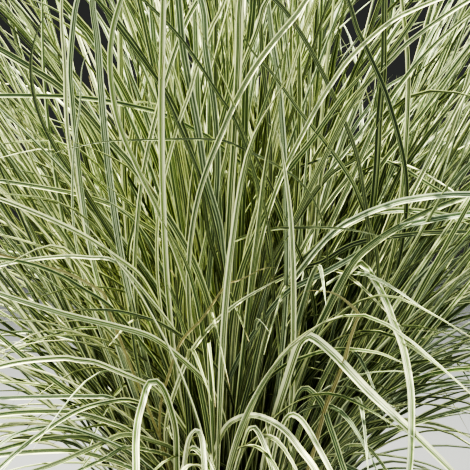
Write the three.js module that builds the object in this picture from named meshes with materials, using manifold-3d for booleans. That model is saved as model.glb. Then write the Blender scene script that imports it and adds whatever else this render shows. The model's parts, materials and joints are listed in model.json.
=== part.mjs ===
// A potted clump of variegated silver grass: a plain clay pot, the compost in it, and leafy stems.
// Millimetres, +Z up. The origin is the middle of the pot's underside.
import * as THREE from "three";
import { mergeVertices } from "three/addons/utils/BufferGeometryUtils.js";
import Module from "manifold-3d";

const wasm = await Module();
wasm.setup();

// Driving dimensions.
const potHeight = 240;
const potMouthRadius = 140;
const potFootRadius = 100;
const potWall = 9;
const potFloor = 12;
const collarHeight = 46;
const collarProud = 6;
const potSides = 32;

const drainHoles = 4;
const drainHoleRadius = 8;
const drainHoleCircle = 55;

const compostBelowMouth = 28;
const seatGap = 0.35;

const stemCount = 52;
const crownRadius = 84;
const stemDepth = 22;
const stemRadius = 3;
const stemSides = 4;
const stemLengthOuter = 250;
const stemLengthMiddle = 450;
const outerLean = 25;

const bladesPerStem = 7;
const bladeWidth = 6.6;
const keelDepth = 1.25;
const bladeLengthLow = 450;
const bladeLengthHigh = 730;
const bladeGap = 0.45;
const droopLow = 108;
const droopHigh = 62;
const droopOuter = 26;
const droopMost = 168;
const spread = 550;
const floorClearance = 60;
const potClearance = 6;

const compostTop = potHeight - compostBelowMouth;
const goldenAngle = Math.PI * (3 - Math.sqrt(5));
const degrees = THREE.MathUtils.degToRad;

// A seeded random number from low to high.
let seed = 20417;
function random(low, high) {
  seed = (seed + 0x6d2b79f5) | 0;
  let t = Math.imul(seed ^ (seed >>> 15), 1 | seed);
  t = (t + Math.imul(t ^ (t >>> 7), 61 | t)) ^ t;
  return low + ((high - low) * ((t ^ (t >>> 14)) >>> 0)) / 4294967296;
}

// Solids.

function solidOf(geometry) {
  const bare = geometry.index ? geometry.toNonIndexed() : geometry.clone();
  bare.deleteAttribute("normal");
  bare.deleteAttribute("uv");
  const merged = mergeVertices(bare, 1e-3);
  return new wasm.Manifold(
    new wasm.Mesh({
      numProp: 3,
      vertProperties: merged.attributes.position.array,
      triVerts: new Uint32Array(merged.index.array),
    }),
  );
}

function geometryOf(solid) {
  const mesh = solid.getMesh();
  const corners = new Float32Array(mesh.numVert * 3);
  for (let i = 0; i < mesh.numVert; i++)
    corners.set(mesh.vertProperties.subarray(i * mesh.numProp, i * mesh.numProp + 3), i * 3);
  return new THREE.BufferGeometry()
    .setAttribute("position", new THREE.BufferAttribute(corners, 3))
    .setIndex(new THREE.BufferAttribute(mesh.triVerts, 1));
}

// A closed skin through rings of points, all with the same count. A ring of one point is a tip.
// Every side is split from its first corner to its far one, so that a twisted blade's two faces bend alike.
function skinOf(rings) {
  const corners = rings.flat().flatMap((p) => [p.x, p.y, p.z]);
  const faces = [];
  const sides = rings[0].length;
  for (let i = 1; i < sides - 1; i++) faces.push(0, i + 1, i);
  let first = 0;
  for (let r = 1; r < rings.length; r++) {
    const next = first + sides;
    for (let i = 0; i < sides; i++) {
      const j = (i + 1) % sides;
      if (rings[r].length === 1) {
        faces.push(first + i, first + j, next);
      } else if (i < j) {
        faces.push(first + i, first + j, next + j);
        faces.push(first + i, next + j, next + i);
      } else {
        faces.push(first + i, first + j, next + i);
        faces.push(first + j, next + j, next + i);
      }
    }
    first = next;
  }
  if (rings.at(-1).length > 1)
    for (let i = 1; i < sides - 1; i++) faces.push(first, first + i, first + i + 1);
  return new THREE.BufferGeometry()
    .setAttribute("position", new THREE.BufferAttribute(new Float32Array(corners), 3))
    .setIndex(faces);
}

// The pot: a tapered clay wall with a collar at the mouth and drain holes in its floor.

function potRadiusAt(z) {
  return THREE.MathUtils.lerp(potFootRadius, potMouthRadius - collarProud, z / potHeight);
}

function makePot() {
  const collarFoot = potHeight - collarHeight;
  const edge = 2.5;
  const profile = [
    [0, 0],
    [potFootRadius - edge, 0],
    [potFootRadius, edge],
    [potRadiusAt(collarFoot), collarFoot],
    [potRadiusAt(collarFoot) + collarProud, collarFoot + edge],
    [potMouthRadius, potHeight - edge],
    [potMouthRadius - edge, potHeight],
    [potMouthRadius - collarProud - potWall + edge, potHeight],
    [potMouthRadius - collarProud - potWall, potHeight - edge],
    [potRadiusAt(potFloor) - potWall, potFloor],
    [0, potFloor],
  ].map(([r, z]) => new THREE.Vector2(r, z));
  let pot = solidOf(new THREE.LatheGeometry(profile, potSides).rotateX(Math.PI / 2));
  for (let i = 0; i < drainHoles; i++) {
    const turn = (2 * Math.PI * (i + 0.5)) / drainHoles;
    const hole = new THREE.CylinderGeometry(drainHoleRadius, drainHoleRadius, potFloor * 3, 12)
      .rotateX(Math.PI / 2)
      .translate(drainHoleCircle * Math.cos(turn), drainHoleCircle * Math.sin(turn), 0);
    pot = pot.subtract(solidOf(hole));
  }
  return pot;
}

// Leafy stems. A strip is a stem or a blade: its rings, and the convex stretches between them.

function stripOf(rings) {
  const stretches = [];
  for (let i = 1; i < rings.length; i++) {
    const points = [...rings[i - 1], ...rings[i]];
    stretches.push({
      points,
      box: new THREE.Box3().setFromPoints(points).expandByScalar(bladeGap / 2),
      along: rings[i][0].clone().sub(rings[i - 1][0]).normalize(),
      across: rings[i - 1][0].clone().sub(rings[i - 1][1]).normalize(),
      middle: points.reduce((sum, p) => sum.add(p), new THREE.Vector3()).divideScalar(points.length),
    });
  }
  return { rings, stretches, box: stretches.reduce((b, s) => b.union(s.box), new THREE.Box3()) };
}

// Whether a plane square to one of a few directions parts two stretches by the gap.
function apart(a, b) {
  const directions = [
    a.across.clone().cross(a.along),
    b.across.clone().cross(b.along),
    a.along.clone().cross(b.along),
    a.across,
    b.across,
    a.across.clone().cross(b.along),
    b.across.clone().cross(a.along),
    a.middle.clone().sub(b.middle),
  ];
  return directions.some((d) => {
    if (d.lengthSq() < 1e-8) return false;
    d = d.clone().normalize();
    const reachA = a.points.map((p) => p.dot(d));
    const reachB = b.points.map((p) => p.dot(d));
    return (
      Math.min(...reachA) - Math.max(...reachB) > bladeGap ||
      Math.min(...reachB) - Math.max(...reachA) > bladeGap
    );
  });
}

// Whether a blade stays off the pot's wall and the compost, past its root.
function clearOfPot(blade) {
  return blade.stretches.slice(1).every(({ points }) => {
    const from = points[0];
    const to = points.at(-1);
    for (let share = 0; share <= 1; share += 0.1) {
      const p = from.clone().lerp(to, share);
      const reach = Math.hypot(p.x, p.y);
      const overCompost = reach < potMouthRadius - collarProud - potWall - potClearance;
      if (p.z < potHeight + potClearance && reach < potMouthRadius + potClearance)
        if (!overCompost || p.z < compostTop + potClearance) return false;
    }
    return true;
  });
}

function clearOf(strip, others, firstStretch = 0) {
  return others.every(
    (other) =>
      !strip.box.intersectsBox(other.box) ||
      strip.stretches
        .slice(firstStretch)
        .every((s) => other.stretches.every((o) => !s.box.intersectsBox(o.box) || apart(s, o))),
  );
}

// A direction that leans from upright towards a compass heading.
function leaning(lean, heading) {
  return new THREE.Vector3(
    Math.sin(lean) * Math.cos(heading),
    Math.sin(lean) * Math.sin(heading),
    Math.cos(lean),
  );
}

// The stem runs out of the compost and leans over a little more as it goes up.
function growStem(foot, lean, heading, length, rank) {
  const pieces = 3;
  const rings = [];
  const at = foot.clone();
  const path = [];
  for (let i = 0; i <= pieces; i++) {
    const tilt = lean * (0.75 + (0.45 * i) / pieces);
    const direction = leaning(tilt, heading);
    if (i > 0) at.addScaledVector(direction, length / pieces);
    const side = new THREE.Vector3().crossVectors(direction, leaning(Math.PI / 2, rank)).normalize();
    const front = new THREE.Vector3().crossVectors(side, direction);
    const radius = stemRadius * (1 - (0.3 * i) / pieces);
    const ring = [];
    for (let k = 0; k < stemSides; k++) {
      const turn = (2 * Math.PI * (k + 0.5)) / stemSides;
      ring.push(
        at
          .clone()
          .addScaledVector(front, radius * Math.cos(turn))
          .addScaledVector(side, radius * Math.sin(turn)),
      );
    }
    rings.push(ring);
    path.push({ at: at.clone(), direction });
  }
  return { ...stripOf(rings), path };
}

function onStem(stem, share) {
  const place = share * (stem.path.length - 1);
  const i = Math.min(Math.floor(place), stem.path.length - 2);
  const at = stem.path[i].at.clone().lerp(stem.path[i + 1].at, place - i);
  const direction = stem.path[i].direction.clone().lerp(stem.path[i + 1].direction, place - i);
  return { at, direction: direction.normalize() };
}

// Where the rings of a blade lie along it, and how wide the blade is there.
const bladeStops = [0, 0.1, 0.3, 0.52, 0.74, 1];
const bladeTaper = [0.3, 0.8, 1, 0.92, 0.62, 0];

// A blade leaves its stem at a small angle, then its own weight bends it over.
function growBlade(start, { heading, opening, droop, power, length, roll, twist, sway }) {
  const first = start.direction.clone().addScaledVector(leaning(Math.PI / 2, heading), Math.tan(opening));
  first.normalize();
  const lean = Math.acos(first.z);
  const way = Math.atan2(first.y, first.x);
  const steps = 48;
  const at = start.at.clone();
  const rings = [];
  let stop = 0;
  for (let i = 0; i <= steps; i++) {
    const share = i / steps;
    const tilt = lean + (droop - lean) * share ** power;
    const direction = leaning(tilt, way + sway * share);
    if (share >= bladeStops[stop] - 1e-9) {
      const flat = leaning(Math.PI / 2, way + sway * share + Math.PI / 2);
      const side = flat.applyAxisAngle(direction, roll + twist * share);
      const face = new THREE.Vector3().crossVectors(direction, side);
      const half = (bladeWidth * bladeTaper[stop]) / 2;
      rings.push(
        half === 0
          ? [at.clone()]
          : [
              at.clone().addScaledVector(side, -half),
              at.clone().addScaledVector(face, -keelDepth * (1 - 0.45 * share)),
              at.clone().addScaledVector(side, half),
            ],
      );
      stop++;
    }
    at.addScaledVector(direction, length / steps);
  }
  return stripOf(rings);
}

const grown = [];

function plantStem(index) {
  const reach = Math.sqrt((index + 0.5) / stemCount);
  for (let attempt = 0; attempt < 400; attempt++) {
    const bearing = index * goldenAngle + random(-0.12, 0.12);
    const radius = crownRadius * reach + random(-3, 3);
    const foot = new THREE.Vector3(
      radius * Math.cos(bearing),
      radius * Math.sin(bearing),
      compostTop - stemDepth,
    );
    const lean = degrees(outerLean) * reach ** 1.3 + degrees(random(-3, 4));
    const heading = bearing + random(-0.5, 0.5);
    const length = THREE.MathUtils.lerp(stemLengthMiddle, stemLengthOuter, reach) * random(0.82, 1.12);
    const rank = random(0, 2 * Math.PI);
    const stem = growStem(foot, lean, heading, length, rank);
    if (clearOf(stem, grown)) return { ...stem, rank, reach };
  }
  throw new Error("no room for stem " + index);
}

// Blades stand in two ranks up the stem. Each is bent until it is clear of all that has grown.
function leafStem(stem) {
  const blades = [];
  for (let k = 0; k < bladesPerStem; k++) {
    const share = 0.16 + (0.82 * (k + 0.5 + random(-0.3, 0.3))) / bladesPerStem;
    const start = onStem(stem, share);
    const height = k / (bladesPerStem - 1);
    const weight = THREE.MathUtils.lerp(droopLow, droopHigh, height) + droopOuter * stem.reach;
    for (let attempt = 0; attempt < 90; attempt++) {
      const looser = 1 + attempt / 60;
      const blade = growBlade(start, {
        heading: stem.rank + (k % 2) * Math.PI + random(-0.3, 0.3) * looser,
        opening: degrees(random(6, 19)),
        droop: degrees(Math.min(weight + random(-42, 42), droopMost)),
        power: THREE.MathUtils.lerp(1.5, 2.7, height) * random(0.8, 1.25),
        length: THREE.MathUtils.lerp(bladeLengthLow, bladeLengthHigh, height) * random(0.78, 1.1),
        roll: random(-0.4, 0.4) * looser,
        twist: random(-0.9, 0.9),
        sway: random(-0.4, 0.4),
      });
      const far = Math.max(-blade.box.min.x, blade.box.max.x, -blade.box.min.y, blade.box.max.y);
      if (far > spread || blade.box.min.z < floorClearance) continue;
      if (!clearOfPot(blade) || !clearOf(blade, [stem], 1)) continue;
      if (!clearOf(blade, grown) || !clearOf(blade, blades)) continue;
      blades.push(blade);
      break;
    }
  }
  return blades;
}

const stems = [];
for (let i = 0; i < stemCount; i++) {
  const stem = plantStem(i);
  grown.push(stem);
  stems.push(stem);
}
const leafyStems = stems.map((stem) => {
  const others = grown.indexOf(stem);
  grown.splice(others, 1);
  const blades = leafStem(stem);
  grown.push(stem, ...blades);
  return { stem, blades };
});

// The compost fills the pot to below its mouth, with a plain hole for each stem.

function makeCompost() {
  const bottom = potFloor + seatGap;
  const radiusAt = (z) => potRadiusAt(potFloor) - potWall - seatGap * 1.5 +
    ((potMouthRadius - collarProud - potRadiusAt(potFloor)) * (z - potFloor)) / (potHeight - potFloor);
  const profile = [
    [0, bottom],
    [radiusAt(bottom), bottom],
    [radiusAt(compostTop), compostTop - 3],
    [radiusAt(compostTop) * 0.9, compostTop],
    [0, compostTop],
  ].map(([r, z]) => new THREE.Vector2(r, z));
  let compost = solidOf(new THREE.LatheGeometry(profile, potSides).rotateX(Math.PI / 2));
  for (const { stem } of leafyStems) {
    const foot = stem.path[0].at;
    const way = stem.path[1].at.clone().sub(foot).normalize();
    const width = stemRadius + seatGap * 1.6;
    const rings = [-1, stemDepth * 2].map((reach) =>
      stem.rings[0].map((corner) =>
        corner.clone().sub(foot).multiplyScalar(width / stemRadius).add(foot).addScaledVector(way, reach),
      ),
    );
    compost = compost.subtract(solidOf(skinOf(rings)));
  }
  return compost;
}

// The whole plant in its pot.

const clay = new THREE.MeshStandardMaterial({ color: 0xb5694a, roughness: 0.9, metalness: 0 });
const earth = new THREE.MeshStandardMaterial({ color: 0x33261c, roughness: 1, metalness: 0 });
const leafColours = [0x9aab6b, 0xb4c088, 0x87995a, 0xc3cb9c];

function addMesh(group, name, solid, material) {
  const mesh = new THREE.Mesh(geometryOf(solid), material);
  mesh.name = name;
  group.add(mesh);
}

const plant = new THREE.Group();
addMesh(plant, "pot", makePot(), clay);
addMesh(plant, "compost", makeCompost(), earth);
leafyStems.forEach(({ stem, blades }, i) => {
  let solid = solidOf(skinOf(stem.rings));
  for (const blade of blades) solid = solid.add(solidOf(skinOf(blade.rings)));
  const leaf = new THREE.MeshStandardMaterial({
    color: leafColours[i % leafColours.length],
    roughness: 0.55,
    metalness: 0,
  });
  addMesh(plant, "stem_" + String(i + 1).padStart(2, "0"), solid, leaf);
});

export default plant;
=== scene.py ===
# A potted clump of variegated silver grass. Metres, +Z up, the origin in the middle of the pot's underside.
import json
import math
import random

import bpy
import numpy as np
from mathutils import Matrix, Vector


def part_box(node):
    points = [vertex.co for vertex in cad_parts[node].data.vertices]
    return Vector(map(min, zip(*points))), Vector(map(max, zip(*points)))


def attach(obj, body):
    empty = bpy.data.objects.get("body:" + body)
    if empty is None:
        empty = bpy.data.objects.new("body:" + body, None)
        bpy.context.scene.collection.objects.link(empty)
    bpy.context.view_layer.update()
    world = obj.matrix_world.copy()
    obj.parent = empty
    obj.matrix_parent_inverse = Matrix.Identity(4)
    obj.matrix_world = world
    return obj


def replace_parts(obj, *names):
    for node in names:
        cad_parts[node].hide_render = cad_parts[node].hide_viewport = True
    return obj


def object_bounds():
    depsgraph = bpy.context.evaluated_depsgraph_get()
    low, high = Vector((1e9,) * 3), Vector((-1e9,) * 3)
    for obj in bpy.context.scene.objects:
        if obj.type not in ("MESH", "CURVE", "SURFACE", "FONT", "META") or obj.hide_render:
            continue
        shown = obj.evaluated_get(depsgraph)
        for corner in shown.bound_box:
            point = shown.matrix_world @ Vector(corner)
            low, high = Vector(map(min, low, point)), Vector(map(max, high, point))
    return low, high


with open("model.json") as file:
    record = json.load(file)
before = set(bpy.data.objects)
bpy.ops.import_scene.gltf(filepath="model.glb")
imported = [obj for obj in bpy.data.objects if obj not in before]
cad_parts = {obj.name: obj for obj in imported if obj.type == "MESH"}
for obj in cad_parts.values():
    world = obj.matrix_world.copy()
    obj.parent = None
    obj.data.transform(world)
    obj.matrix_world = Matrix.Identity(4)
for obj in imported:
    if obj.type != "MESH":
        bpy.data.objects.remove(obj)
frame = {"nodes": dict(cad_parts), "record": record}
cad_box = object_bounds()


# The camera looks at the middle of the clump from in front and a little above, close enough that the leaves
# run out of the picture on every side. It comes first, because front leaves are placed by where they show.
image_side = 470
camera_place = Vector((0.0, -1.3, 0.86))
aim = Vector((0.0, 0.0, 0.635))
height_seen = 0.565

camera_data = bpy.data.cameras.new("camera")
camera = bpy.data.objects.new("camera", camera_data)
bpy.context.scene.collection.objects.link(camera)
camera.location = camera_place
camera.rotation_euler = (aim - camera_place).to_track_quat("-Z", "Y").to_euler()
camera_data.sensor_width = 36.0
camera_data.lens = camera_data.sensor_width * (aim - camera_place).length / height_seen
camera_data.dof.use_dof = False
bpy.context.scene.camera = camera


# The pot is a plain thrown one of fired clay, with a collar at its mouth and four drain holes in its floor.
# It is turned from its profile, with soft edges and faint throwing rings, and carries the pale bloom that
# watering leaves.
pot_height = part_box("pot")[1].z
mouth_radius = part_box("pot")[1].x
foot_radius = 0.100
foot_ring_radius = foot_radius * 0.8
hollow_radius = foot_radius * 0.72
foot_hollow = 0.0012
wall = 0.009
pot_floor = 0.012
collar_height = 0.046
collar_proud = 0.006
collar_slope = 0.0025
lip_slope = 0.006
lip_edge = 0.004
lip_inner_edge = 0.002
axis_offset = 0.004
weld_distance = 0.00005
drain_holes = 4
drain_hole_radius = 0.008
drain_hole_circle = 0.055
drill_sides = 24
clay_colour = (0.46, 0.17, 0.085)
pale_clay = (0.56, 0.24, 0.13)
clay_speck = (0.30, 0.12, 0.07)
bloom_colour = (0.74, 0.62, 0.52)
bloom_height = 0.13
bloom_elsewhere = 0.22
rim_bloom_depth = 0.03
rim_bloom_strength = 0.55
clay_grain = 900.0
drag_strength = 0.8
bare_roughness = 0.74
bloom_roughness = 0.93
crease_angle = math.radians(50)


def wall_radius(z):
    """The outer radius of the pot's wall below its collar."""
    return foot_radius + (mouth_radius - collar_proud - foot_radius) * z / pot_height


def node(tree, kind, *values, out=0, **settings):
    """Adds a node, fills or links its shown inputs in order, and gives back one of its shown outputs."""
    made = tree.nodes.new(kind)
    for name, value in settings.items():
        setattr(made, name, value)
    shown = [s for s in made.inputs if s.enabled]
    for socket, value in zip(shown, values):
        if isinstance(value, bpy.types.NodeSocket):
            tree.links.new(value, socket)
        elif value is not None:
            socket.default_value = value
    return [s for s in made.outputs if s.enabled][out]


def shape(tree, kind, *values, **settings):
    """Adds one of the nodes that make, change or measure a shape."""
    return node(tree, "GeometryNode" + kind, *values, **settings)


def maths(tree, operation, *values):
    return node(tree, "ShaderNodeMath", *values, operation=operation)


def times(tree, a, b):
    return maths(tree, "MULTIPLY", a, b)


def plus(tree, a, b):
    return maths(tree, "ADD", a, b)


def minus(tree, a, b):
    return maths(tree, "SUBTRACT", a, b)


def vectors(tree, operation, *values):
    return node(tree, "ShaderNodeVectorMath", *values, operation=operation)


def noise(tree, where, scale=1.0, detail=2.0, roughness=0.5, **settings):
    return node(tree, "ShaderNodeTexNoise", where, scale, detail, roughness, **settings)


def about_axis(tree, spot):
    """Splits a place into its level part, its distance from the upright axis and its height."""
    level = vectors(tree, "MULTIPLY", spot, (1.0, 1.0, 0.0))
    return level, vectors(tree, "LENGTH", level), node(tree, "ShaderNodeSeparateXYZ", spot, out=2)


def new_tree(name, kind, inputs, outputs):
    """A node tree with named sockets. Gives the tree, its given inputs and the inputs of its result."""
    tree = bpy.data.node_groups.new(name, kind)
    for direction, sockets in (("INPUT", inputs), ("OUTPUT", outputs)):
        for title, kind_of_socket, *value in sockets:
            kind_of_socket = "NodeSocket" + kind_of_socket
            socket = tree.interface.new_socket(title, in_out=direction, socket_type=kind_of_socket)
            if value:
                socket.default_value = value[0]
    return tree, tree.nodes.new("NodeGroupInput").outputs, tree.nodes.new("NodeGroupOutput").inputs


def finish_with(tree, body, given, result):
    """Ends a tree: the body gets its material and is what the tree gives."""
    tree.links.new(shape(tree, "SetMaterial", body, None, given["Finish"]), result["Geometry"])
    return tree


def turned_body_tree():
    """The nodes that turn a profile about the upright axis, with soft edges and throwing rings."""
    tree, given, result = new_tree("turned body", "GeometryNodeTree", (
        ("Profile", "Geometry"), ("Edge Rounding", "Float", 0.0015), ("Step", "Float", 0.004),
        ("Turns", "Int", 128), ("Axis Offset", "Float", 0.1), ("Ring Depth", "Float", 0.0004),
        ("Ring Count", "Float", 70.0), ("Finish", "Material"),
    ), (("Geometry", "Geometry"),))
    profile = shape(tree, "MeshToCurve", given["Profile"])
    profile = shape(tree, "FilletCurve", profile, 3, given["Edge Rounding"], True, mode="POLY")
    profile = shape(tree, "ResampleCurve", profile, None, given["Step"], mode="LENGTH")
    circle = shape(tree, "CurvePrimitiveCircle", given["Turns"], given["Axis Offset"])
    circle = shape(tree, "SetCurveNormal", circle, None, (0.0, 0.0, 1.0), mode="FREE")
    body = shape(tree, "CurveToMesh", circle, profile, None, False)
    body = shape(tree, "MergeByDistance", body, None, weld_distance)
    level, from_axis, height = about_axis(tree, shape(tree, "InputPosition"))
    rings = noise(tree, times(tree, height, given["Ring Count"]), detail=3.0, noise_dimensions="1D")
    swell = times(tree, minus(tree, rings, 0.5), given["Ring Depth"])
    swell = times(tree, swell, maths(tree, "GREATER_THAN", from_axis, given["Axis Offset"]))
    moved = vectors(tree, "SCALE", vectors(tree, "NORMALIZE", level), swell)
    body = shape(tree, "SetPosition", body, None, None, moved)
    body = shape(tree, "FlipFaces", body)
    body = shape(tree, "SetShadeSmooth", body, None, True)
    return finish_with(tree, body, given, result)


def add_object(name, mesh):
    made = bpy.data.objects.new(name, mesh)
    bpy.context.scene.collection.objects.link(made)
    return made


def built_by_nodes(name, mesh, *steps):
    """Runs trees one after another from a starting mesh, and gives back a plain object with their result."""
    for tree, settings in steps:
        carrier = add_object("carrier", mesh)
        modifier = carrier.modifiers.new("tree", "NODES")
        modifier.node_group = tree
        identifiers = {s.name: s.identifier for s in tree.interface.items_tree if s.in_out == "INPUT"}
        for title, value in settings.items():
            modifier[identifiers[title]] = value
        graph = bpy.context.evaluated_depsgraph_get()
        mesh = bpy.data.meshes.new_from_object(carrier.evaluated_get(graph))
        bpy.data.objects.remove(carrier)
    return add_object(name, mesh)


def profile_mesh(points):
    """A profile of radius and height pairs, laid out as the turned body's nodes read it."""
    mesh = bpy.data.meshes.new("profile")
    lines = [(i, i + 1) for i in range(len(points) - 1)]
    mesh.from_pydata([(z, r - axis_offset, 0) for r, z in points], lines, [])
    return mesh


def new_material(name):
    """An empty material, with its tree and the socket that its shader goes into."""
    material = bpy.data.materials.new(name)
    material.use_nodes = True
    tree = material.node_tree
    tree.nodes.clear()
    return material, tree, tree.nodes.new("ShaderNodeOutputMaterial").inputs["Surface"]


def principled(tree, **sockets):
    """A Principled BSDF with the named sockets set or linked."""
    made = tree.nodes.new("ShaderNodeBsdfPrincipled")
    for name, value in sockets.items():
        socket = made.inputs[name.replace("_", " ")]
        if isinstance(value, bpy.types.NodeSocket):
            tree.links.new(value, socket)
        else:
            socket.default_value = value
    return made.outputs["BSDF"]


def on_the_piece(tree):
    """The place on the piece, in its own coordinates."""
    return node(tree, "ShaderNodeTexCoord", out=3)


def bumped(tree, relief, strength, depth):
    return node(tree, "ShaderNodeBump", strength, depth, None, relief)


def eased(tree, value, low, high, to_low=0.0, to_high=1.0):
    """A value carried from one range to another, with smooth ends."""
    ends = (low, high, to_low, to_high)
    return node(tree, "ShaderNodeMapRange", value, *ends, interpolation_type="SMOOTHSTEP")


def mixed(tree, factor, a, b, kind="MIX"):
    """Two colours mixed by a factor."""
    colours = [c if isinstance(c, bpy.types.NodeSocket) else (*c, 1.0) for c in (a, b)]
    return node(tree, "ShaderNodeMix", factor, *colours, data_type="RGBA", blend_type=kind)


def mottle_group():
    """Soft uneven patches over a surface, as a mask from 0 to 1."""
    tree, given, result = new_tree("mottle", "ShaderNodeTree", (
        ("Scale", "Float", 20.0), ("Low", "Float", 0.4), ("High", "Float", 0.6), ("Shift", "Vector"),
    ), (("Mask", "Float"),))
    where = vectors(tree, "ADD", on_the_piece(tree), given["Shift"])
    patches = noise(tree, where, given["Scale"], detail=5.0, roughness=0.6)
    tree.links.new(eased(tree, patches, given["Low"], given["High"]), result["Mask"])
    return tree


mottle_tree = mottle_group()


def mottle(tree, scale, low, high, shift):
    return node(tree, "ShaderNodeGroup", scale, low, high, (shift, shift, shift), node_tree=mottle_tree)


def fired_clay():
    """Unglazed clay: mottled, finely specked, with bloom near its foot and mouth and fine drag marks."""
    material, tree, surface = new_material("fired_clay")
    where = on_the_piece(tree)
    height = node(tree, "ShaderNodeSeparateXYZ", where, out=2)
    clay = mixed(tree, mottle(tree, scale=14.0, low=0.3, high=0.7, shift=0.0), clay_colour, pale_clay)
    clay = mixed(tree, mottle(tree, scale=420.0, low=0.58, high=0.7, shift=2.0), clay, clay_speck)
    near_foot = eased(tree, height, bloom_height, 0.0)
    foot_bloom = mottle(tree, scale=26.0, low=0.42, high=0.66, shift=5.0)
    foot_bloom = times(tree, foot_bloom, plus(tree, near_foot, bloom_elsewhere))
    near_mouth = eased(tree, height, pot_height - rim_bloom_depth, pot_height)
    rim_bloom = mottle(tree, scale=40.0, low=0.4, high=0.62, shift=7.0)
    rim_bloom = times(tree, rim_bloom, times(tree, near_mouth, rim_bloom_strength))
    colour = mixed(tree, maths(tree, "MAXIMUM", foot_bloom, rim_bloom), clay, bloom_colour)
    rough = eased(tree, foot_bloom, 0.0, 1.0, bare_roughness, bloom_roughness)
    grain = noise(tree, where, clay_grain, detail=4.0, roughness=0.7)
    drag = noise(tree, times(tree, height, clay_grain), noise_dimensions="1D")
    relief = plus(tree, grain, times(tree, drag, drag_strength))
    bump = bumped(tree, relief, strength=0.5, depth=0.0004)
    tree.links.new(principled(tree, Base_Color=colour, Roughness=rough, Normal=bump), surface)
    return material


def drain_hole_tree():
    """The nodes that cut the drain holes through the pot's floor."""
    tree, given, result = new_tree("drain holes", "GeometryNodeTree", (
        ("Geometry", "Geometry"), ("Holes", "Int", 4), ("Circle Radius", "Float", 0.05),
        ("Hole Radius", "Float", 0.008), ("Finish", "Material"),
    ), (("Geometry", "Geometry"),))
    spots = shape(tree, "MeshCircle", given["Holes"], given["Circle Radius"], fill_type="NONE")
    half_a_space = math.pi / drain_holes
    spots = shape(tree, "Transform", spots, None, (0.0, 0.0, half_a_space))
    drill = shape(tree, "MeshCylinder", drill_sides, 1, 1, given["Hole Radius"], pot_floor * 3)
    drills = shape(tree, "InstanceOnPoints", spots, None, drill)
    drills = shape(tree, "RealizeInstances", drills)
    cut = shape(tree, "MeshBoolean", given["Geometry"], drills, operation="DIFFERENCE", solver="EXACT")
    steep = maths(tree, "GREATER_THAN", shape(tree, "InputMeshEdgeAngle"), crease_angle)
    cut = shape(tree, "SetShadeSmooth", cut, steep, False, domain="EDGE")
    return finish_with(tree, cut, given, result)


turned = turned_body_tree()
clay = fired_clay()
collar_foot = pot_height - collar_height
inner_mouth = mouth_radius - collar_proud - wall
pot_profile = [
    (0, 0),
    (hollow_radius, foot_hollow),
    (foot_ring_radius, 0),
    (foot_radius, 0),
    (wall_radius(collar_foot), collar_foot),
    (wall_radius(collar_foot) + collar_proud, collar_foot + collar_slope),
    (mouth_radius, pot_height - lip_slope),
    (mouth_radius - lip_edge, pot_height),
    (inner_mouth + lip_inner_edge, pot_height),
    (inner_mouth, pot_height - lip_edge),
    (wall_radius(pot_floor) - wall, pot_floor),
    (0, pot_floor),
]
clay_pot = built_by_nodes("clay_pot", profile_mesh(pot_profile), (turned, {
    "Axis Offset": axis_offset, "Finish": clay,
}), (drain_hole_tree(), {
    "Holes": drain_holes, "Circle Radius": drain_hole_circle, "Hole Radius": drain_hole_radius,
    "Finish": clay,
}))
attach(clay_pot, "root")
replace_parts(clay_pot, "pot")


# The compost is a dark, crumbly mix of peat and composted bark. It fills the pot to below its mouth, with a
# rough top of loose crumbs and small chips of bark that lie where they fell.
compost_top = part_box("compost")[1].z
compost_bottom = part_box("compost")[0].z
seat_gap = 0.0006
top_depth = 0.004
edge_left_bare = 0.006
soil_tone = 0.3
lump_scale = 45.0
lump_level = 0.75
least_grain = (0.5, 0.4, 0.25)
greatest_grain = (1.5, 0.9, 0.6)
peat_tones = (0.0, 0.8)
bark_tones = (0.82, 0.98)
dry_roughness = 0.95
wet_roughness = 0.7
wet_soil = (0.012, 0.008, 0.005)
peat_brown = (0.055, 0.033, 0.018)
bark_brown = (0.16, 0.095, 0.05)
damp_soil = (0.010, 0.007, 0.004)


def joined(tree, *parts):
    """Joins bodies into one."""
    join = tree.nodes.new("GeometryNodeJoinGeometry")
    for part in parts:
        tree.links.new(part, join.inputs[0])
    return join.outputs[0]


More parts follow.
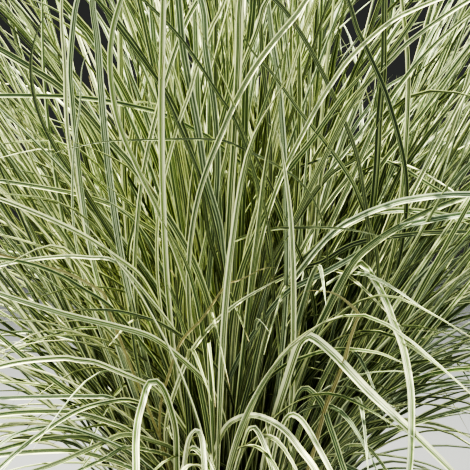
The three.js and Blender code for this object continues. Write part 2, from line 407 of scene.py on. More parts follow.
def crumbly_top_tree():
    """The nodes that roughen the top of a turned body and strew crumbs and chips over it."""
    tree, given, result = new_tree("crumbly top", "GeometryNodeTree", (
        ("Geometry", "Geometry"), ("Top", "Float", 0.2), ("Reach", "Float", 0.12),
        ("Roughness", "Float", 0.006), ("Crumb Size", "Float", 0.0022), ("Chip Size", "Float", 0.007),
        ("Crumbs", "Float", 60000.0), ("Chips", "Float", 5500.0), ("Seed", "Int", 5), ("Finish", "Material"),
    ), (("Geometry", "Geometry"),))
    spot = shape(tree, "InputPosition")
    from_axis, height = about_axis(tree, spot)[1:]
    at_top = maths(tree, "GREATER_THAN", height, minus(tree, given["Top"], top_depth))
    lumps = noise(tree, spot, lump_scale, detail=6.0, roughness=0.62)
    sunk = times(tree, minus(tree, lumps, lump_level), given["Roughness"])
    sunk = node(tree, "ShaderNodeCombineXYZ", None, None, sunk)
    ground = shape(tree, "SetPosition", given["Geometry"], at_top, None, sunk)
    inside = maths(tree, "LESS_THAN", from_axis, given["Reach"])
    strewn = times(tree, at_top, inside)

    def loose(grain, count, size, seed, tilt):
        drawn = plus(tree, given["Seed"], seed)
        points = shape(tree, "DistributePointsOnFaces", ground, strewn, count, drawn)
        turn = node(tree, "FunctionNodeRandomValue", (0.0, 0.0, 0.0), (tilt, tilt, math.tau),
                    None, seed + 1, data_type="FLOAT_VECTOR")
        stretch = node(tree, "FunctionNodeRandomValue", least_grain, greatest_grain,
                       None, seed + 2, data_type="FLOAT_VECTOR")
        scale = vectors(tree, "SCALE", stretch, size)
        tone = node(tree, "FunctionNodeRandomValue", 0.0, 1.0, None, seed + 3)
        points = shape(tree, "StoreNamedAttribute", points, None, "tone", tone, domain="POINT")
        return shape(tree, "InstanceOnPoints", points, None, grain, None, None, turn, scale)

    crumb = shape(tree, "MeshIcoSphere", 1.0, 1)
    chip = shape(tree, "MeshCube", (1.0, 1.0, 1.0), 3, 3, 2)
    wobble = vectors(tree, "SUBTRACT", noise(tree, None, 2.0, detail=1.0, out=1), (0.5, 0.5, 0.5))
    chip = shape(tree, "SetPosition", chip, None, None, wobble)
    crumbs = loose(crumb, given["Crumbs"], given["Crumb Size"], seed=11, tilt=math.pi)
    chips = loose(chip, given["Chips"], given["Chip Size"], seed=31, tilt=0.5)
    ground = shape(tree, "StoreNamedAttribute", ground, None, "tone", soil_tone, domain="POINT")
    whole = shape(tree, "RealizeInstances", joined(tree, chips, crumbs, ground))
    return finish_with(tree, whole, given, result)


def stored(tree, name):
    """A number that the piece's mesh holds, for its material to read."""
    return node(tree, "ShaderNodeAttribute", out=2, attribute_name=name)


def damp_compost():
    """Compost: nearly black when wet, browner in its dry crumbs, with paler chips of bark."""
    material, tree, surface = new_material("damp_compost")
    tone = stored(tree, "tone")
    colour = mixed(tree, eased(tree, tone, *peat_tones), wet_soil, peat_brown)
    colour = mixed(tree, eased(tree, tone, *bark_tones), colour, bark_brown)
    damp = mottle(tree, scale=30.0, low=0.38, high=0.62, shift=3.0)
    colour = mixed(tree, times(tree, damp, 0.5), colour, damp_soil)
    rough = eased(tree, damp, 0.0, 1.0, dry_roughness, wet_roughness)
    grain = noise(tree, on_the_piece(tree), 700.0, detail=4.0, roughness=0.7)
    bump = bumped(tree, grain, strength=0.8, depth=0.0008)
    tree.links.new(principled(tree, Base_Color=colour, Roughness=rough, Normal=bump), surface)
    return material


earth = damp_compost()
fill_radius = wall_radius(compost_top) - wall - seat_gap
fill_foot = wall_radius(compost_bottom) - wall - seat_gap
fill_profile = [
    (0, compost_bottom),
    (fill_foot, compost_bottom),
    (fill_radius, compost_top),
    (0, compost_top),
]
compost = built_by_nodes("compost_fill", profile_mesh(fill_profile), (turned, {
    "Axis Offset": axis_offset, "Edge Rounding": 0.001, "Step": 0.0035, "Ring Depth": 0.0, "Finish": earth,
}), (crumbly_top_tree(), {
    "Top": compost_top, "Reach": fill_radius - edge_left_bare, "Finish": earth,
}))
while len(compost.data.materials) > 1:
    compost.data.materials.pop()
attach(compost, "root")
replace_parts(compost, "compost")


# Leafy stems. Each grew as one piece: a thin cane wrapped in leaf sheaths, each of which opens into one long
# narrow blade, in two ranks up the stem, green striped with cream. The solids say where each blade runs, and
# the lines that the finer blades are swept along are read from them here.

# A finish of leaf has its green, its darker green, its cream, and how wide its cream margins are.
finishes = {
    "green": ((0.125, 0.20, 0.058), (0.042, 0.075, 0.019), (0.86, 0.90, 0.45), 0.20),
    "cream": ((0.20, 0.285, 0.09), (0.08, 0.13, 0.036), (0.97, 0.98, 0.58), 0.36),
    # The shade finish is painted shade: the same striped leaf with its greens and its cream darker.
    "shade": ((0.07, 0.118, 0.031), (0.024, 0.045, 0.012), (0.64, 0.69, 0.32), 0.14),
    "silver": ((0.165, 0.235, 0.10), (0.08, 0.125, 0.048), (0.90, 0.95, 0.62), 0.26),
}
looks_per_finish = 32
least_tip_reach = 0.03
rings_of_a_blade = 4
root_half_width = 0.0021
tip_half_width = 0.0002
cane_half_width = 0.0027
cane_widest = 0.95
cane_thinning = 0.7
sheath_length = 0.11
sheath_widest = 1.08
sheath_thinning = 0.6
sheath_mouth = 0.006
sheath_shape = (0.95, 1.0, 1.06, 0.95, 0.5)
sheath_looks = 2
ripple_starts = 40
foot_corners = 4
corner_digits = 7
least_length = 1e-9
edge_thickness = 0.0008
cell = 0.0035
cells_across = 4096
crowd = set()
low, high = (np.array(corner) for corner in cad_box)
looks = random.Random(19)


def unit(vector):
    return vector / max(np.linalg.norm(vector), least_length)


def read_blades(mesh):
    """The foot of a leafy stem and its blades, from its solid."""
    corners = np.array([v.co for v in mesh.vertices]).round(corner_digits)
    places, which = np.unique(corners, axis=0, return_inverse=True)
    which = which.reshape(-1)
    beside = [set() for _ in places]
    for triangle in mesh.polygons:
        a, b, c = (int(which[i]) for i in triangle.vertices)
        beside[a] |= {b, c}
        beside[b] |= {a, c}
        beside[c] |= {a, b}
    blades = []
    for tip, near in enumerate(beside):
        if len(near) != 3 or min(np.linalg.norm(places[n] - places[tip]) for n in near) < least_tip_reach:
            continue
        rings, seen, layer = [], {tip}, set(near)
        while len(layer) == 3 and len(rings) < rings_of_a_blade:
            rings.append(places[sorted(layer)])
            seen |= layer
            layer = set().union(*(beside[i] for i in layer)) - seen
        blades.append(blade_from(rings[::-1], places[tip]))
    foot = places[np.argsort(places[:, 2])[:foot_corners]].mean(axis=0)
    return foot, sorted(blades, key=lambda blade: blade[0][0][2])


def blade_from(rings, tip):
    """A blade's middle line, its upper face and half width along it, from rings of margin, keel, margin."""
    line, faces, halves = [], [], []
    for ring in rings:
        sides = [(np.linalg.norm(ring[i] - ring[j]), 3 - i - j) for i, j in ((0, 1), (1, 2), (0, 2))]
        width, keel = max(sides)
        middle = (ring.sum(axis=0) - ring[keel]) / 2
        line.append(middle)
        faces.append(unit(middle - ring[keel]))
        halves.append(width / 2)
    root = line[0] - (line[1] - line[0]) / 2
    halves = [root_half_width, root_half_width, *halves[1:], tip_half_width]
    return [root, *line, tip], [faces[0], *faces, faces[-1]], halves


def along_line(line, step):
    """Places every step along a line of points."""
    found = []
    for a, b in zip(line, line[1:]):
        count = 1 + int(np.linalg.norm(b - a) / step)
        found.append(a + (b - a) * (np.arange(count) / count)[:, None])
    return np.concatenate(found)


def cells_of(line):
    """The small cells of space that a line runs through, as numbers."""
    keys = np.floor(along_line(line, cell) / cell).astype(np.int64) + cells_across // 2
    return set((keys @ np.array([1, cells_across, cells_across ** 2])).tolist())


class Lines:
    """The lines that blades and sheaths follow, gathered for one piece."""

    def __init__(self):
        self.points, self.edges, self.values = [], [], []

    def add(self, line, faces, halves, sheath=0.0, fineness=1.0):
        first = len(self.points)
        if sheath:
            strip = looks_per_finish + looks.randrange(sheath_looks)
        else:
            strip = looks.randrange(looks_per_finish)
        blade = looks.random() * ripple_starts
        for i, point in enumerate(line):
            self.points.append(point)
            self.values.append((faces[i], halves[i], strip, blade, sheath, fineness))
            if i:
                self.edges.append((first + i - 1, first + i))

    def mesh(self):
        mesh = bpy.data.meshes.new("lines")
        mesh.from_pydata([tuple(p) for p in self.points], self.edges, [])
        layer = mesh.attributes.new("upper", "FLOAT_VECTOR", "POINT")
        layer.data.foreach_set("vector", np.array([v[0] for v in self.values], np.float32).ravel())
        for i, attribute in enumerate(("half_width", "strip", "blade", "sheath", "fineness")):
            layer = mesh.attributes.new(attribute, "FLOAT", "POINT")
            layer.data.foreach_set("value", np.array([v[i + 1] for v in self.values], np.float32))
        return mesh


def add_cane(lines, foot, roots):
    """Adds a stem's cane and the sheaths round it, from its foot and the roots of its blades."""
    path = [foot, *roots]
    side = np.array([1.0, 0.0, 0.0])
    for k, root in enumerate(roots):
        below = path[max(k - 1, 0)]
        way = unit(root - below)
        start = root - way * min(sheath_length, np.linalg.norm(root - below))
        half = cane_half_width * (sheath_widest - sheath_thinning * k / len(roots))
        places = [start, (start + root) / 2, root, root + way * sheath_mouth, root + way * sheath_mouth * 2]
        lines.add(places, [side] * len(places), [half * share for share in sheath_shape], sheath=1.0)
    halves = [cane_half_width * (cane_widest - cane_thinning * i / len(roots)) for i in range(len(path))]
    lines.add(path, [side] * len(path), halves, sheath=1.0)


looks_in_turn = list(finishes)
gathered = {look: Lines() for look in [*finishes, "pale", "dry"]}
replaced = {look: [] for look in finishes}
feet = []
tops = []
for part in sorted(frame["record"]["subparts"], key=lambda part: part["node"]):
    look = part["material_slot"].removeprefix("leaf_")
    if look not in finishes:
        continue
    foot, blades = read_blades(frame["nodes"][part["node"]].data)
    roots = [blade[0][0] for blade in blades]
    for line, faces, halves in blades:
        line = [np.clip(place, low + edge_thickness, high - edge_thickness) for place in line]
        gathered[look].add(line, faces, halves)
        crowd |= cells_of(line[1:])
    add_cane(gathered[look], foot, roots)
    replaced[look].append(part["node"])
    feet.append(foot)
    tops.append((look, roots))


# The front leaves are those that show one by one in the photograph: long living blades, the palest of them
# nearly white, and three dried ones. Each rises from the crown on a cane of its own and runs on to its tip.

# A leaf has its finish, its width in pixels, how far before the middle it starts and ends in metres, how
# much its face turns to the camera, and its points in pixels. A pale leaf goes all the way to that end, and
# any other a drawn part of the way.
front_leaves = {
    "left swan neck": ("pale", 6.5, 0.29, 0.43, 0.65, (
        (160, 212), (140, 170), (121, 124), (112, 75), (113, 35), (122, 0))),
    "left upright": ("pale", 6, 0.2, 0.43, 0.8, (
        (174, 352), (167, 272), (163, 186), (162, 103), (164, 0))),
    "left leaning": ("cream", 5, 0.26, 0.41, 0.7, (
        (138, 222), (145, 166), (160, 103), (174, 56), (185, 26), (199, 0))),
    "far left upright": ("silver", 6, 0.28, 0.41, 0.7, (
        (82, 190), (72, 92), (71, 60), (75, 17), (78, 0))),
    "far left falling": ("green", 7.5, 0.27, 0.36, 0.75, (
        (160, 206), (129, 163), (106, 138), (83, 111), (60, 88), (30, 68))),
    "top left dark": ("shade", 5, 0.33, 0.41, 0.6, (
        (172, 112), (155, 78), (140, 53), (129, 37), (114, 18), (96, 0))),
    "left crossbar": ("green", 5, 0.26, 0.33, 0.55, (
        (216, 144), (193, 130), (163, 115), (133, 107), (95, 100), (58, 97))),
    "top left corner": ("green", 7.5, 0.27, 0.36, 0.8, (
        (122, 88), (94, 41), (77, 20), (60, 0))),
    "left grey upright": ("silver", 7.5, 0.28, 0.41, 0.8, (
        (112, 190), (106, 138), (101, 80), (98, 40), (93, 0))),
    "right dark diagonal": ("shade", 5, 0.29, 0.41, 0.7, (
        (360, 175), (352, 142), (331, 92), (315, 60), (299, 32), (274, 0))),
    "right dark crossing": ("shade", 4.5, 0.28, 0.39, 0.7, (
        (358, 195), (345, 170), (324, 141), (301, 113), (272, 73), (253, 52), (236, 22))),
    "middle upright pale": ("cream", 7, 0.2, 0.41, 0.85, (
        (226, 300), (229, 230), (232, 180), (235, 138), (239, 57), (241, 0))),
    "middle upright green": ("green", 7, 0.2, 0.41, 0.85, (
        (238, 300), (241, 230), (244, 161), (245, 103), (247, 57), (253, 0))),
    "right rising": ("green", 5.5, 0.24, 0.39, 0.7, (
        (280, 250), (313, 180), (345, 115), (368, 80), (410, 23))),
    "right upright dark": ("shade", 7, 0.23, 0.41, 0.8, (
        (366, 262), (376, 180), (380, 115), (384, 69), (385, 0))),
    "far right upright": ("cream", 5, 0.28, 0.41, 0.7, (
        (402, 190), (408, 103), (407, 46), (402, 0))),
    "middle right grey": ("silver", 6, 0.25, 0.41, 0.8, (
        (286, 240), (284, 161), (281, 115), (278, 80), (272, 40), (267, 0))),
    "top right dark": ("shade", 6, 0.34, 0.41, 0.7, (
        (388, 104), (365, 48), (356, 29), (347, 0))),
    "right crossbar": ("shade", 4.5, 0.2, 0.24, 0.35, (
        (322, 160), (348, 155), (379, 160), (404, 170), (430, 186))),
    "left long arch": ("green", 5, 0.15, 0.35, 0.55, (
        (236, 376), (230, 329), (215, 302), (198, 276), (181, 256), (158, 235), (135, 220), (112, 206),
        (83, 196), (60, 191))),
    "left pale arch": ("cream", 5.5, 0.16, 0.34, 0.6, (
        (180, 360), (163, 318), (146, 286), (135, 272), (117, 259), (89, 240), (60, 225))),
    "left dark arch": ("shade", 5.5, 0.17, 0.33, 0.6, (
        (182, 362), (163, 312), (147, 283), (131, 259), (117, 241), (100, 220), (83, 200))),
    "left level pale": ("cream", 4, 0.26, 0.33, 0.6, (
        (150, 300), (116, 263), (89, 258), (60, 257))),
    "left level green": ("green", 5, 0.25, 0.33, 0.6, (
        (138, 340), (109, 307), (83, 290), (60, 276))),
    "left bright bar": ("pale", 6, 0.25, 0.35, 0.6, (
        (184, 362), (152, 338), (117, 327), (83, 319), (60, 313))),
    "left dark bar": ("shade", 5, 0.23, 0.31, 0.6, (
        (190, 344), (163, 326), (140, 317), (112, 311), (77, 310))),
    "left short green": ("green", 4.5, 0.23, 0.27, 0.6, (
        (130, 290), (129, 253), (133, 232), (138, 209), (143, 180), (146, 150))),
    "middle rising pale": ("cream", 5, 0.22, 0.28, 0.7, (
        (176, 390), (192, 352), (215, 323), (240, 302), (270, 284))),
    "right sweep low": ("shade", 6, 0.18, 0.35, 0.65, (
        (205, 350), (230, 309), (264, 287), (299, 270), (322, 263), (356, 244), (410, 235))),
    "right sweep grey": ("green", 6, 0.2, 0.34, 0.7, (
        (262, 330), (280, 292), (303, 260), (333, 235), (356, 221), (379, 213), (410, 211))),
    "right sweep pale": ("silver", 6, 0.2, 0.34, 0.7, (
        (247, 346), (268, 315), (290, 291), (322, 275), (356, 256), (391, 233), (410, 225))),
    "right sweep high": ("green", 7.5, 0.24, 0.38, 0.75, (
        (302, 360), (322, 323), (339, 289), (356, 260), (379, 240), (410, 221))),
    "right upright pale": ("cream", 6, 0.23, 0.33, 0.8, (
        (292, 380), (293, 329), (293, 283), (292, 249), (290, 214), (286, 180), (280, 140))),
    "right hanging": ("pale", 7, 0.22, 0.37, 0.75, (
        (318, 330), (340, 284), (354, 268), (362, 264), (373, 279), (385, 301), (393, 323), (402, 346),
        (408, 375), (411, 405))),
    "right low arch": ("green", 5.5, 0.2, 0.34, 0.6, (
        (255, 393), (282, 369), (303, 359), (326, 352), (348, 350), (379, 354), (402, 363))),
    "right broad diagonal": ("pale", 9, 0.24, 0.38, 0.85, (
        (286, 384), (298, 348), (306, 338), (314, 338), (333, 354), (351, 373), (368, 391), (385, 407),
        (410, 430))),
    "low right arch": ("pale", 6.5, 0.2, 0.33, 0.75, (
        (216, 452), (225, 430), (236, 420), (253, 416), (270, 421), (287, 433), (301, 451), (315, 470),
        (322, 490))),
    "low right second": ("pale", 5.5, 0.22, 0.32, 0.75, (
        (272, 470), (278, 440), (285, 422), (292, 415), (301, 420), (310, 433), (320, 451), (330, 470))),
    "low right third": ("green", 5.5, 0.23, 0.33, 0.75, (
        (288, 440), (296, 402), (303, 389), (310, 390), (322, 404), (328, 422), (336, 445), (344, 470))),
    "low middle short": ("cream", 5.5, 0.24, 0.31, 0.75, (
        (244, 446), (250, 430), (256, 429), (264, 445), (272, 470))),
    "low right thin": ("green", 3.5, 0.25, 0.33, 0.7, (
        (330, 470), (342, 450), (354, 445), (368, 448), (379, 460), (386, 470))),
    "low left hoop": ("pale", 7, 0.2, 0.33, 0.8, (
        (176, 470), (175, 433), (170, 410), (163, 391), (155, 382), (148, 385), (143, 402), (138, 422),
        (136, 445), (136, 480))),
    "low small hoop": ("pale", 5.5, 0.23, 0.31, 0.75, (
        (184, 478), (187, 451), (191, 437), (197, 431), (201, 436), (203, 452), (204, 478))),
    "low small fall": ("pale", 5.5, 0.24, 0.31, 0.75, (
        (186, 462), (192, 449), (198, 451), (207, 462), (214, 476))),
    "left fan first": ("pale", 6, 0.2, 0.33, 0.7, (
        (180, 424), (157, 392), (140, 382), (112, 370), (94, 363), (77, 361), (60, 359))),
    "left fan second": ("green", 5, 0.19, 0.33, 0.65, (
        (150, 462), (124, 432), (106, 421), (83, 401), (60, 385))),
    "left fan third": ("cream", 5.5, 0.2, 0.33, 0.65, (
        (150, 456), (129, 432), (106, 422), (83, 415), (60, 412))),
    "left fan fourth": ("silver", 5, 0.21, 0.32, 0.65, (
        (146, 466), (129, 453), (106, 442), (83, 433), (60, 428))),
    "left fan fifth": ("green", 5, 0.2, 0.32, 0.65, (
        (148, 462), (133, 451), (112, 443), (89, 438), (60, 438))),
    "left fan sixth": ("cream", 5.5, 0.21, 0.33, 0.65, (
        (146, 476), (117, 463), (83, 453), (60, 451))),
    "left fan seventh": ("green", 5, 0.22, 0.32, 0.65, (
        (148, 440), (124, 435), (94, 447), (60, 462))),
    "left fan eighth": ("cream", 4.5, 0.22, 0.32, 0.65, (
        (144, 450), (124, 448), (106, 458), (81, 470))),
    "left fan pale": ("silver", 4.5, 0.22, 0.33, 0.7, (
        (140, 412), (109, 398), (94, 397), (60, 397))),
    "left fan falling": ("cream", 5, 0.21, 0.33, 0.65, (
        (160, 414), (131, 401), (106, 403), (83, 409), (60, 421))),
    "left kinked dry": ("dry", 3, 0.27, 0.33, 0.8, (
        (120, 340), (106, 304), (105, 295), (94, 287), (71, 275), (50, 268))),
    "middle dry": ("dry", 3, 0.24, 0.29, 0.7, (
        (170, 372), (182, 341), (203, 318), (221, 292), (232, 282), (240, 280), (260, 270))),
    "right kinked dry": ("dry", 4.5, 0.27, 0.36, 0.8, (
        (315, 445), (324, 411), (333, 388), (344, 361), (349, 341), (355, 323), (357, 312), (337, 295),
        (322, 291))),
    "right rising first": ("cream", 5.5, 0.23, 0.36, 0.75, (
        (318, 262), (328, 232), (352, 180), (382, 113), (408, 75))),
    "right rising second": ("silver", 5, 0.23, 0.35, 0.7, (
        (278, 262), (291, 232), (310, 198), (355, 140), (375, 112), (398, 84))),
    "right rising third": ("cream", 6, 0.33, 0.41, 0.75, (
        (228, 120), (251, 75), (272, 45), (297, 15), (307, 0))),
    "right rising fourth": ("pale", 5, 0.33, 0.4, 0.7, (
        (312, 118), (337, 77), (355, 54), (385, 27), (410, 12))),
    "right rising fifth": ("green", 6, 0.26, 0.38, 0.75, (
        (262, 220), (285, 175), (312, 140), (340, 100), (365, 70), (382, 42))),
    "right rising sixth": ("cream", 5, 0.22, 0.38, 0.7, (
        (312, 270), (317, 232), (322, 175), (335, 130), (352, 100), (395, 57), (410, 42))),
    "right rising seventh": ("shade", 5, 0.26, 0.34, 0.7, (
        (300, 215), (330, 175), (360, 155), (375, 122), (390, 96))),
    "right rising eighth": ("cream", 4.5, 0.23, 0.4, 0.75, (
        (244, 262), (250, 232), (260, 197), (272, 150), (282, 107), (295, 62), (310, 15))),
    "right rising ninth": ("green", 5.5, 0.2, 0.32, 0.7, (
        (300, 300), (322, 268), (352, 215), (378, 170), (408, 132))),
    "right rising tenth": ("cream", 5, 0.23, 0.33, 0.7, (
        (296, 262), (322, 214), (345, 182), (372, 150), (408, 112))),
    "right short dark": ("shade", 4.5, 0.23, 0.33, 0.7, (
        (302, 262), (289, 232), (272, 190), (247, 140), (240, 120))),
    "middle dark upright": ("shade", 5, 0.23, 0.41, 0.75, (
        (262, 262), (267, 232), (270, 175), (269, 125), (262, 60), (258, 0))),
    "left thin leaning": ("cream", 4, 0.32, 0.41, 0.75, (
        (176, 130), (190, 90), (195, 71), (203, 48), (213, 23), (224, 0))),
    "left long diagonal": ("shade", 5, 0.23, 0.41, 0.7, (
        (216, 262), (208, 235), (198, 175), (175, 110), (145, 65), (96, 0))),
    "top left thin diagonal": ("shade", 4, 0.31, 0.41, 0.7, (
        (246, 150), (233, 118), (218, 95), (183, 42), (143, 0))),
    "left grey diagonal": ("silver", 7, 0.24, 0.41, 0.8, (
        (222, 250), (218, 220), (205, 175), (198, 130), (183, 50), (178, 0))),
    "left dark falling": ("shade", 6, 0.23, 0.31, 0.7, (
        (132, 268), (113, 235), (80, 182), (58, 150))),
    "left thin bar": ("shade", 3, 0.31, 0.36, 0.6, (
        (240, 148), (213, 140), (158, 140), (103, 142), (63, 150))),
    "far left pale": ("cream", 4.5, 0.28, 0.39, 0.75, (
        (78, 190), (68, 130), (65, 62), (62, 25))),
    "far left thin": ("silver", 3, 0.3, 0.37, 0.7, (
        (74, 160), (80, 110), (82, 70), (88, 52))),
    "middle long upright": ("silver", 6, 0.2, 0.41, 0.8, (
        (206, 300), (212, 235), (217, 170), (214, 110), (205, 50), (200, 0))),
    "middle crossing pale": ("cream", 5, 0.21, 0.41, 0.75, (
        (196, 290), (212, 215), (228, 150), (236, 90), (258, 30), (268, 0))),
    "middle green rising": ("green", 5.5, 0.21, 0.41, 0.75, (
        (182, 290), (192, 235), (204, 180), (222, 120), (238, 60), (262, 0))),
    "right wide grey": ("silver", 6.5, 0.24, 0.36, 0.75, (
        (308, 262), (335, 232), (360, 217), (385, 207), (410, 200))),
    "right thin bar": ("shade", 3.5, 0.25, 0.33, 0.7, (
        (262, 232), (295, 228), (342, 229), (380, 236))),
    "low right dark": ("shade", 5, 0.24, 0.33, 0.7, (
        (330, 470), (346, 455), (365, 445), (388, 434), (410, 425))),
    "low right green": ("green", 5.5, 0.2, 0.3, 0.75, (
        (290, 470), (300, 430), (318, 390), (338, 352), (360, 315), (385, 285))),
    "low middle dark": ("shade", 5.5, 0.18, 0.26, 0.75, (
        (232, 470), (240, 420), (252, 375), (262, 330), (268, 290))),
    "low middle green": ("green", 5.5, 0.18, 0.25, 0.75, (
        (212, 470), (206, 420), (196, 372), (184, 330), (172, 296))),
    "low left stem leaf": ("shade", 6, 0.18, 0.24, 0.75, (
        (190, 470), (188, 420), (184, 370), (178, 320), (176, 280))),
}
picture_left = 62
picture_right = 408
picture_top = 6
picture_bottom = 464
seen_distance = (aim - camera_place).length
metres_per_pixel = height_seen / image_side
ahead = np.array((aim - camera_place).normalized())
rightward = np.array([1.0, 0.0, 0.0])
upward = np.cross(rightward, ahead)
eye = np.array(camera_place)
edge_room = 0.006
foot_depth = 0.02
foot_limit = 0.07
foot_across = 0.4
foot_forward = 0.35
lean_across = 0.3
lean_forward = 0.12
rising_steps = 8
leaf_opens = 4
reach_spread = (0.5, 1.0)
veers = ((-0.22, 0.22), (0.0, 0.3), (-0.26, -0.02))
runs_on = (0.1, 0.26)
ends_in = 0.02
run_on_steps = 4
least_bend = 0.05
front_stops = (0, 0.15, 0.65, 0.85, 1)
front_taper = (0.7, 1.0, 1.0, 0.7, 0.03)
front_fineness = 4.0
clear_cell = 4
clear_step = 0.002
kept_clear = {}
spread = random.Random(29)


def seen_at(x, y, depth):
    """The place that shows at a pixel of the photograph, this far in front of the middle of the plant."""
    across = (x - image_side / 2) * metres_per_pixel / seen_distance
    up = (image_side / 2 - y) * metres_per_pixel / seen_distance
    ray = ahead + rightward * across + upward * up
    return eye + ray * (-depth - eye[1]) / ray[1]


def shown_at(places):
    """The pixels at which places show, and how far in front of the middle they are."""
    away = places - eye
    scale = seen_distance / metres_per_pixel / (away @ ahead)
    across = away @ rightward * scale
    up = away @ upward * scale
    return image_side / 2 + across, image_side / 2 - up, -places[:, 1]


def distances(points):
    """How far along a line of points each of them lies."""
    return np.concatenate([[0], np.cumsum([np.linalg.norm(b - a) for a, b in zip(points, points[1:])])])


def rising_to(shown, nearest):
    """The curve on which a leaf rises from its foot in the crown to the first place where it shows."""
    start = shown[0]
    foot_x = np.clip(start[0] * foot_across, -foot_limit, foot_limit)
    foot = np.array([foot_x, -min(foot_limit, nearest * foot_forward), compost_top - foot_depth])
    rise = np.linalg.norm(start - foot)
    first_way = unit(np.array([start[0] * lean_across, -lean_forward, 1.0])) * rise
    last_way = unit(shown[1] - start) * rise
    t = np.linspace(0, 1, rising_steps + 1)[:-1, None]
    return (foot * (2 * t ** 3 - 3 * t ** 2 + 1) + first_way * (t ** 3 - 2 * t ** 2 + t)
            + start * (3 * t ** 2 - 2 * t ** 3) + last_way * (t ** 3 - t ** 2))


def run_on(line, leaves_picture):
    """Carries a leaf's line on to its tip, veering a little at each step."""
    way = unit(line[-1] - line[-2])
    veer = np.array([spread.uniform(*ends) for ends in veers])
    rest = spread.uniform(*runs_on) if leaves_picture else ends_in
    for _ in range(run_on_steps):
        way = unit(way + veer)
        line.append(line[-1] + way * rest / run_on_steps)


def turned_to_eye(line, facing):
    """The upper face at each point of a leaf, square to its bend but turned partly to the camera."""
    ways = [unit(b - a) for a, b in zip(line, line[1:])]
    ways = [ways[0], *(unit(a + b) for a, b in zip(ways, ways[1:])), ways[-1]]
    bend = sum(np.cross(a, b) for a, b in zip(ways, ways[1:]))
    middle = line[len(line) // 2]
    bend = unit(bend + np.cross(unit(eye - middle), ways[len(ways) // 2]) * least_bend)
    faces = []
    for place, way in zip(line, ways):
        to_eye = unit(eye - place)
        faces.append(unit(np.cross(way, bend) * (1 - facing) + (to_eye - way * (to_eye @ way)) * facing))
    return faces


def add_front_leaf(finish, width, nearest, farthest, facing, pixels):
    """Adds a leaf through the places where it shows, with its cane."""
    pixels = np.array(pixels, float)
    passed = distances(pixels)
    share_of_reach = spread.uniform(*reach_spread) if finish != "pale" else 1.0
    depths = nearest + (farthest - nearest) * share_of_reach * passed / passed[-1]
    shown = [seen_at(x, y, depth) for (x, y), depth in zip(pixels, depths)]
    rising = rising_to(shown, nearest)
    line = list(rising[leaf_opens:]) + shown
    x, y = pixels[-1]
    run_on(line, not (picture_left < x < picture_right and picture_top < y < picture_bottom))
    line = [np.clip(place, low + edge_room, high - edge_room) for place in line]
    share = distances(line)
    share /= share[-1]
    half = width / 2 * metres_per_pixel * (seen_distance - (nearest + farthest) / 2) / seen_distance
    halves = np.interp(share, front_stops, front_taper) * half
    gathered[finish].add(line, turned_to_eye(line, facing), list(halves), fineness=front_fineness)
    add_cane(gathered[finish], rising[0], [rising[leaf_opens // 2], rising[leaf_opens]])
    for x, y, depth in zip(*shown_at(along_line(shown, clear_step))):
        kept_clear[int(x // clear_cell), int(y // clear_cell)] = depth


for leaf in front_leaves.values():
    add_front_leaf(*leaf)


# The rest of the clump, which is closer grown than the solids can be. More leafy stems stand between the
# solid ones and lean out more towards the edge, with their two lowest leaves hanging outwards. A newest leaf
# tops a stem where it finds room. These leaves keep mostly off the front ones and out of the open places.
more_stems = 104
crown_radius = 0.086
cane_spacing = 0.0068
golden_angle = math.pi * (3 - math.sqrt(5))
first_bearing = 1.3
bearing_stray = 0.2
foot_stray = 0.004
foot_tries = 60
outer_lean = 15
lean_power = 1.3
lean_stray = (-3, 4)
lean_at_foot = 0.75
lean_gained = 0.45
heading_stray = 0.9
cane_length_middle = 0.46
cane_length_outer = 0.26
cane_length_stray = (0.82, 1.12)
cane_steps = 12
leaves_per_stem = 8
low_leaves = 2
lowest_leaf = 0.24
leafy_share = 0.74
leaf_stray = 0.3
leaf_length_low = 0.45
leaf_length_high = 0.74
spear_overlap = 0.02
high_leaf = dict(opening=(6, 28), heading=(0, math.tau), droop=(5, 95, 30), power=(0.9, 1.7),
                 length=(0.75, 1.12), roll=(-0.6, 0.6), twist=(-1.0, 1.0), width=(0.72, 1.05))
low_leaf = {**high_leaf, "opening": (6, 20), "heading": (-1.3, 1.3), "droop": (60, 125)}
spear = dict(heading=(0, math.tau), opening=(1, 5), droop=(10, 60), power=(1.2, 2.4),
             length=(0.42, 0.66), roll=(-1.5, 1.5), twist=(-0.9, 0.9), width=(0.8, 1.0))
blade_stops = (0.0, 0.1, 0.3, 0.52, 0.74, 1.0)
blade_taper = (0.6, 0.85, 1.0, 0.92, 0.62, 0.04)
blade_half_width = 0.0033
blade_steps = 36
steps_kept = [0, 4, 9, 14, 20, 26, 31, 36]
sharpest_bend = 0.999
floor_room = 0.06
pot_room = 0.006
ways_tried = 9
covering_step = 0.004
covering_cost = 4
closing_cost = 3
most_closed = 5

# An open place has its middle and its radius in pixels.
open_places = (
    (90, 42, 30), (124, 92, 16), (66, 128, 14), (368, 20, 20), (398, 62, 13), (262, 92, 9), (330, 186, 12),
    (150, 152, 9), (186, 60, 8),
)

growth = random.Random(11)


def lerp(a, b, share):
    return a + (b - a) * share


def leaning(lean, heading):
    return np.array([math.sin(lean) * math.cos(heading), math.sin(lean) * math.sin(heading), math.cos(lean)])


